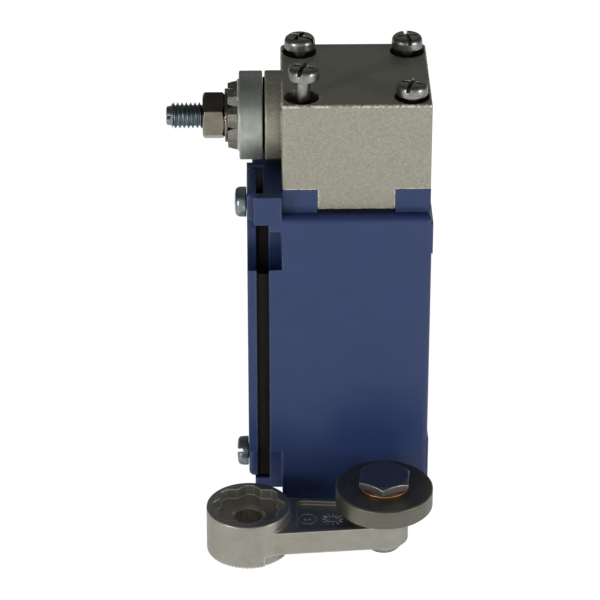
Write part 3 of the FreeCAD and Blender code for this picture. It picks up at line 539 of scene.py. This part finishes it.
def revolve(profile, steps, thread):
    """Closed solid round z from (radius, height) points. thread is (low, high, pitch, depth)."""
    thread_low, thread_high, pitch, depth = thread
    bm = bmesh.new()
    rows = []
    for r, z in profile:
        if r == 0:
            rows.append([bm.verts.new((0, 0, z))])
            continue
        row = []
        for k in range(steps):
            angle = 2 * math.pi * k / steps
            cut = 0.0
            if thread_low <= z <= thread_high:
                fade = min(1.0, (z - thread_low) / pitch)
                cut = thread_depth(z, angle, pitch, depth) * fade
            here = r - cut
            row.append(bm.verts.new((here * math.cos(angle), here * math.sin(angle), z)))
        rows.append(row)
    for low, high in zip(rows, rows[1:]):
        for k in range(steps):
            j = (k + 1) % steps
            if len(low) == 1:
                bm.faces.new((low[0], high[j], high[k]))
            elif len(high) == 1:
                bm.faces.new((low[k], low[j], high[0]))
            else:
                bm.faces.new((low[k], low[j], high[j], high[k]))
    return bm


def threaded(radius, low, high, step):
    """Profile points close enough together for a thread between two heights."""
    count = round((high - low) / step)
    return [(radius, low + (high - low) * k / count) for k in range(count + 1)]


def tapered_bar(half_top, half_bottom, half_length, top, bottom):
    """Cutter for a screwdriver recess: a bar that narrows downwards."""
    bm = bmesh.new()
    rows = []
    for half, z in ((half_bottom, bottom), (half_top, top)):
        reach = half_length - (half_top - half)
        rows.append([bm.verts.new((sx * reach, sy * half, z))
                     for sx, sy in ((-1, -1), (1, -1), (1, 1), (-1, 1))])
    bm.faces.new(reversed(rows[0]))
    bm.faces.new(rows[1])
    for k in range(4):
        j = (k + 1) % 4
        bm.faces.new((rows[0][k], rows[0][j], rows[1][j], rows[1][k]))
    return bm


def cut(mesh, cutters):
    """Cuts solids out of a mesh and returns the result."""
    target = link(bpy.data.objects.new("cut_target", mesh))
    tools = []
    for k, cutter in enumerate(cutters):
        tool = link(bpy.data.objects.new(f"cut_tool_{k}", cutter))
        tools.append(tool)
        boolean = target.modifiers.new(f"cut_{k}", "BOOLEAN")
        boolean.operation, boolean.solver, boolean.object = "DIFFERENCE", "EXACT", tool
    bpy.context.view_layer.update()
    evaluated = target.evaluated_get(bpy.context.evaluated_depsgraph_get())
    made = bpy.data.meshes.new_from_object(evaluated)
    for obj in [target] + tools:
        bpy.data.objects.remove(obj)
    made.shade_smooth()
    made.set_sharp_from_angle(angle=SMOOTH_ANGLE)
    return made


def pan_screw(name, place, head_r, head_h, shank_r, length, angle, thread_len, pitch, cross):
    """Pan-head screw standing on z = 0, shank downwards, with a slot and perhaps a cross."""
    tip = -length
    thread_low, thread_high = tip + 0.5, tip + thread_len
    profile = [(0, tip), (shank_r - 0.45, tip), (shank_r - 0.02, tip + 0.45)]
    profile += threaded(shank_r, thread_low, thread_high, pitch / 12)
    # plain shank, the fillet under the head, the head's lower edge
    profile += [(shank_r, thread_high + 0.4), (shank_r, -0.6), (shank_r, -0.25),
                (shank_r + 0.12, -0.06), (shank_r + 0.25, 0),
                (head_r - 0.25, 0), (head_r - 0.07, 0.08), (head_r, 0.28), (head_r, 0.45)]
    # rounded shoulder, then a slightly domed top
    side = head_h * 0.52
    for k in range(SHOULDER_STEPS + 1):
        a = math.pi / 2 * k / SHOULDER_STEPS
        profile.append((head_r - 0.04 - SHOULDER * (1 - math.cos(a)),
                        side + (head_h - side - DOME) * math.sin(a)))
    top_r = head_r - 0.04 - SHOULDER
    for share in (0.5, 0.25):
        r = top_r * share * 1.3
        profile.append((r, head_h - DOME * (r / top_r) ** 2))
    profile.append((0, head_h))
    body = revolve(profile, 48, (thread_low, thread_high, pitch, pitch * THREAD_FORM))
    spin = place @ turn(angle)
    slot = tapered_bar(0.58, 0.46, head_r + 2, head_h + 1, head_h - SLOT_DEPTH)
    cutters = [to_mesh(name + "_slot", slot, spin)]
    if cross:
        bar = tapered_bar(0.62, 0.34, head_r * 0.7, head_h + 0.6, head_h - CROSS_DEPTH)
        cutters.append(to_mesh(name + "_cross", bar, spin @ turn(90)))
    return cut(to_mesh(name, body, place), cutters)


# (radius, place along the shaft) of its plain part: inner end, the two grooves for the
# retaining ring and the shaft seal, and the shoulder where the stud starts
SHAFT_PROFILE = [
    (0, -13), (3.2, -13), (3.5, -12.7), (3.5, 7.0), (3.9, 7.0), (4.0, 7.1), (4.0, 7.15),
    (3.2, 7.15), (3.2, 7.9), (4.0, 7.9),
    (4.0, 16.9), (3.15, 16.9), (3.15, 18.6), (4.0, 18.6),
    (4.0, 23.8), (3.8, 24.0), (3.0, 24.0)]
THREAD_R, THREAD_LOW, THREAD_HIGH, THREAD_PITCH, THREAD_DEPTH = 3.0, 24.6, 41.95, 1.0, 0.64
TIP_PROFILE = [(2.28, 42.45), (2.22, 42.6), (2.2, 43.15), (2.12, 43.32), (1.9, 43.46)]
SHAFT_END = 43.5
TIP_SLOT_ANGLE = 102


def lever_shaft():
    """Shaft with its grooves, a real M6 thread and a slotted tip."""
    profile = list(SHAFT_PROFILE)
    profile += threaded(THREAD_R, THREAD_LOW, THREAD_HIGH, THREAD_PITCH / 24)
    profile += [(THREAD_R - 0.62 * k / 6, THREAD_HIGH + 0.42 * k / 6) for k in range(1, 7)]
    profile += TIP_PROFILE + [(1.75, SHAFT_END), (0, SHAFT_END)]
    place = shift(0, 0, AXIS_Z) @ turn(-90, "Y")
    body = revolve(profile, 64, (THREAD_LOW, THREAD_HIGH, THREAD_PITCH, THREAD_DEPTH))
    slot = tapered_bar(0.44, 0.44, 4.0, SHAFT_END + 1, SHAFT_END - 1.0)
    return cut(to_mesh("shaft", body, place),
               [to_mesh("slot", slot, place @ turn(TIP_SLOT_ANGLE))])


add_piece("threaded_shaft", lever_shaft(), "stud_steel", "shaft", ["lever_shaft"])

HEAD_SCREW = dict(head_r=3.6, head_h=3.0, shank_r=1.6, length=26.0, thread_len=7.0, pitch=0.7,
                  cross=True)
COVER_SCREW = dict(head_r=3.55, head_h=2.75, shank_r=1.7, length=13.4, thread_len=7.0, pitch=0.7,
                   cross=False)
lean = (shift(-SCREW_AT, -SCREW_AT, LEAN_HEIGHT) @ turn(LOOSE_LEAN, "Y")
        @ shift(0, 0, LOOSE_UNDER - LEAN_HEIGHT))

# name, place, turn of its slot in degrees, sizes, material slot, what it stands for
SCREWS = [
    ("head_screw_near_right", shift(SCREW_AT, -SCREW_AT, NEAR_UNDER), 72, HEAD_SCREW,
     "screw_steel", "head_screws"),
    ("head_screw_far_right", shift(SCREW_AT, SCREW_AT, SCREW_UNDER), 98, HEAD_SCREW,
     "screw_steel", "head_screws"),
    ("head_screw_far_left", shift(-SCREW_AT, SCREW_AT, SCREW_UNDER), -28, HEAD_SCREW,
     "screw_steel", "head_screws"),
    ("head_screw_near_left", lean, 72, HEAD_SCREW, "screw_steel", "head_screw_loose"),
    ("cover_screw_0", shift(COVER_FACE, -5.0, 7.5) @ turn(-90, "Y"), 119, COVER_SCREW,
     "stud_steel", "cover_screws"),
    ("cover_screw_1", shift(COVER_FACE, -5.0, 75.5) @ turn(-90, "Y"), 35, COVER_SCREW,
     "stud_steel", "cover_screws"),
]
for name, place, angle, sizes, slot_name, stands_for in SCREWS:
    add_piece(name, pan_screw(name, place, angle=angle, **sizes), slot_name, "case", [stands_for])


def coil(radius, wire, low, high, turns, steps=28, sides=8):
    """Round wire wound upwards, its end turns lying closed."""
    bm = bmesh.new()
    rows = []
    for k in range(turns * steps + 1):
        share = k / (turns * steps)
        rise = share - COIL_CLOSING * math.sin(2 * math.pi * share)
        a = 2 * math.pi * turns * share
        row = []
        for j in range(sides):
            b = 2 * math.pi * j / sides
            r = radius + wire * math.cos(b)
            z = low + wire + (high - low - 2 * wire) * rise + wire * math.sin(b)
            row.append(bm.verts.new((r * math.cos(a), r * math.sin(a), z)))
        rows.append(row)
    for under, over in zip(rows, rows[1:]):
        for j in range(sides):
            n = (j + 1) % sides
            bm.faces.new((under[j], under[n], over[n], over[j]))
    bm.faces.new(rows[0])
    bm.faces.new(rows[-1])
    return bm


# name, what it stands for, joint, mean radius, wire radius, lower end, upper end, turns
SPRINGS = (("plunger_coil", "plunger_spring", "plunger_slide", 3.5, 0.3, 81.72, 88.78, 4),
           ("carrier_coil", "block_spring", "carrier_slide", 1.55, 0.25, 26.02, 33.48, 6))
for name, stands_for, joint, radius, wire, low, high, turns in SPRINGS:
    wound = to_mesh(name, coil(radius, wire, low, high, turns), Matrix())
    spring = add_piece(name, wound, "spring_steel", "case", [stands_for])
    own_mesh(spring)


def ring_mark(centre, radius, wire, steps):
    """Raised ring of half-round section on the pocket's floor."""
    bm = bmesh.new()
    rows = []
    for k in range(steps):
        a = 2 * math.pi * k / steps
        row = []
        for j in range(6):
            b = math.pi * j / 5
            r = radius + wire * math.cos(b)
            row.append(bm.verts.new((centre[0] + r * math.cos(a), centre[1] + r * math.sin(a),
                                     wire * 0.9 * math.sin(b) - SUNK)))
        rows.append(row)
    for k in range(steps):
        j = (k + 1) % steps
        for i in range(6):
            n = (i + 1) % 6
            bm.faces.new((rows[k][i], rows[j][i], rows[j][n], rows[k][n]))
    return bm


def bar_mark(centre, half_length, half_width, height, angle):
    """Raised bar with sloping sides on the pocket's floor."""
    bm = tapered_bar(half_width * 0.6, half_width, half_length, height, -SUNK)
    bmesh.ops.transform(bm, matrix=shift(*centre, 0) @ turn(angle), verts=bm.verts)
    return bm


def cast_mark(piece_name, mesh_name, bm):
    """A raised mark, drawn with x from the hub's axis towards the pin's."""
    add_piece(piece_name, to_mesh(mesh_name, bm, pocket), "cast_lever", "lever")


along = (PIN - HUB).normalized()
pocket = shift(HUB.x, HUB.y, POCKET_FLOOR) @ turn(math.degrees(math.atan2(along.y, along.x)))
MARK_AT, DIAL_AT = (13.8, -0.2), (19.8, -0.3)
TICK_R = 2.0
cast_mark("mould_ring", "mould_ring", ring_mark(MARK_AT, 2.1, 0.16, 40))
for k, side in enumerate((-0.55, 0.55)):
    at = (MARK_AT[0] + side, MARK_AT[1])
    cast_mark(f"mould_bar_{k}", "mould_bar", bar_mark(at, 0.16, 0.55, 0.14, 0))
cast_mark("dial_ring", "dial_ring", ring_mark(DIAL_AT, 1.1, 0.15, 28))
for k in range(12):
    a = math.radians(30 * k)
    at = (DIAL_AT[0] + TICK_R * math.cos(a), DIAL_AT[1] + TICK_R * math.sin(a))
    cast_mark(f"dial_tick_{k}", "dial_tick", bar_mark(at, 0.45, 0.17, 0.2, 30 * k))


# ---- stage, light and camera: metres and watts -------------------------------

FLOOR_HALF = 12.0
FLOOR_DROP = 0.0001      # below the part's lowest point
AIM = (0, 0, 0.05)       # where the lights point
CAMERA_AT, CAMERA_LOOKS = (-0.02331, -0.63745, 0.39951), Vector((0.014649, 0.874675, -0.484488))
CAMERA_LENS, SENSOR_WIDTH, CLIP_START = 183.06, 36, 0.01
ROOM_COLOUR, ROOM_STRENGTH = (0.95, 0.97, 1.0, 1), 0.085

# name, place, target, width, height, power
LIGHTS = [
    ("front_soft", (-0.2, -2.2, 0.9), AIM, 3.0, 1.6, 8),
    ("left_soft", (-1.45, -1.35, 0.35), AIM, 0.2, 0.6, 15),
    ("right_soft", (1.6, -1.1, 0.35), AIM, 0.4, 0.6, 13),
    ("floor_light", (0.1, -0.9, 1.2), (0, 0, 0), 1.2, 0.8, 23),
    ("back_soft", (0.0, 2.4, 1.35), AIM, 3.0, 1.4, 1.8),
]


def make_floor():
    mesh = bpy.data.meshes.new("floor")
    z = cad_box[0].z - FLOOR_DROP
    corners = [(x * FLOOR_HALF, y * FLOOR_HALF, z) for x, y in ((-1, -1), (1, -1), (1, 1), (-1, 1))]
    mesh.from_pydata(corners, [], [(0, 1, 2, 3)])
    mesh.materials.append(floor_paper())
    obj = link(bpy.data.objects.new("floor", mesh))
    return obj


def area_light(name, location, target, width, height, watts):
    data = bpy.data.lights.new(name, "AREA")
    data.shape, data.size, data.size_y, data.energy = "RECTANGLE", width, height, watts
    obj = link(bpy.data.objects.new(name, data))
    obj.location = location
    aim = Vector(target) - Vector(location)
    obj.rotation_euler = aim.to_track_quat("-Z", "Y").to_euler()
    return obj


floor = make_floor()
lights = {row[0]: area_light(*row) for row in LIGHTS}
floor_only = bpy.data.collections.new("floor_only")
floor_only.objects.link(floor)
lights["floor_light"].light_linking.receiver_collection = floor_only

# the camera sees white, and the object is lit by a dim room
world = bpy.data.worlds.new("studio")
world.use_nodes = True
bpy.context.scene.world = world
world_nodes, world_links = world.node_tree.nodes, world.node_tree.links
room = world_nodes["Background"]
room.inputs["Color"].default_value = ROOM_COLOUR
room.inputs["Strength"].default_value = ROOM_STRENGTH
backdrop = world_nodes.new("ShaderNodeBackground")
backdrop.inputs["Color"].default_value = (1, 1, 1, 1)
seen = world_nodes.new("ShaderNodeLightPath")
pick = world_nodes.new("ShaderNodeMixShader")
world_links.new(seen.outputs["Is Camera Ray"], pick.inputs[0])
world_links.new(room.outputs[0], pick.inputs[1])
world_links.new(backdrop.outputs[0], pick.inputs[2])
world_links.new(pick.outputs[0], world_nodes["World Output"].inputs["Surface"])

camera = link(bpy.data.objects.new("camera", bpy.data.cameras.new("camera")))
camera.data.lens, camera.data.sensor_width = CAMERA_LENS, SENSOR_WIDTH
camera.data.clip_start = CLIP_START
camera.location = CAMERA_AT
camera.rotation_euler = CAMERA_LOOKS.to_track_quat("-Z", "Y").to_euler()
bpy.context.scene.camera = camera
bpy.context.scene.view_settings.view_transform = "Standard"
